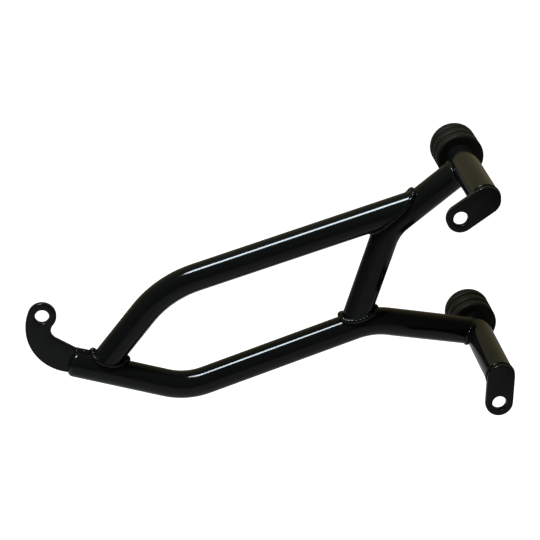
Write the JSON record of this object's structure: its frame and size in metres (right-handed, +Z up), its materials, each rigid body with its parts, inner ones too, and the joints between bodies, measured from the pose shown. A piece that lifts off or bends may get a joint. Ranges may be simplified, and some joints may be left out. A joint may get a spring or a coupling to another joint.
{
  "type": "motorcycle crash bars",
  "caption": "One side of welded tubular crash bars: bent black tubes in a frame, standoffs with mount plates and ribbed bumpers, and a hooked lug.",
  "frame": {"origin": "centre of the upper mounting hole, on the face that meets the motorcycle", "axes": "+X along the motorcycle from the lug towards the bumpers, +Y outboard along the mounting holes and standoffs, +Z up"},
  "size_m": [0.3857, 0.1521, 0.2156],
  "materials": {
    "black_coat": "gloss black powder coat",
    "bumper_rubber": "satin black moulded rubber",
    "plated_steel": "plain zinc plate"
  },
  "bodies": {
    "root": {"lower_tube": "black_coat", "upper_tube": "black_coat", "cross_tube": "black_coat", "upper_standoff": "black_coat", "lower_standoff": "black_coat", "side_lug": "black_coat", "upper_mount_plate": "black_coat", "lower_mount_plate": "black_coat", "weld_lug": "black_coat", "weld_upper_foot": "black_coat", "weld_upper_head": "black_coat", "weld_cross_foot": "black_coat", "weld_cross_standoff": "black_coat", "weld_lower_standoff": "black_coat", "weld_upper_plate": "black_coat", "weld_lower_plate": "black_coat", "upper_bumper": "bumper_rubber", "lower_bumper": "bumper_rubber", "upper_bung": "plated_steel", "lower_bung": "plated_steel", "upper_bolt": "plated_steel", "lower_bolt": "plated_steel", "upper_washer": "plated_steel", "lower_washer": "plated_steel"}
  },
  "joints": []
}
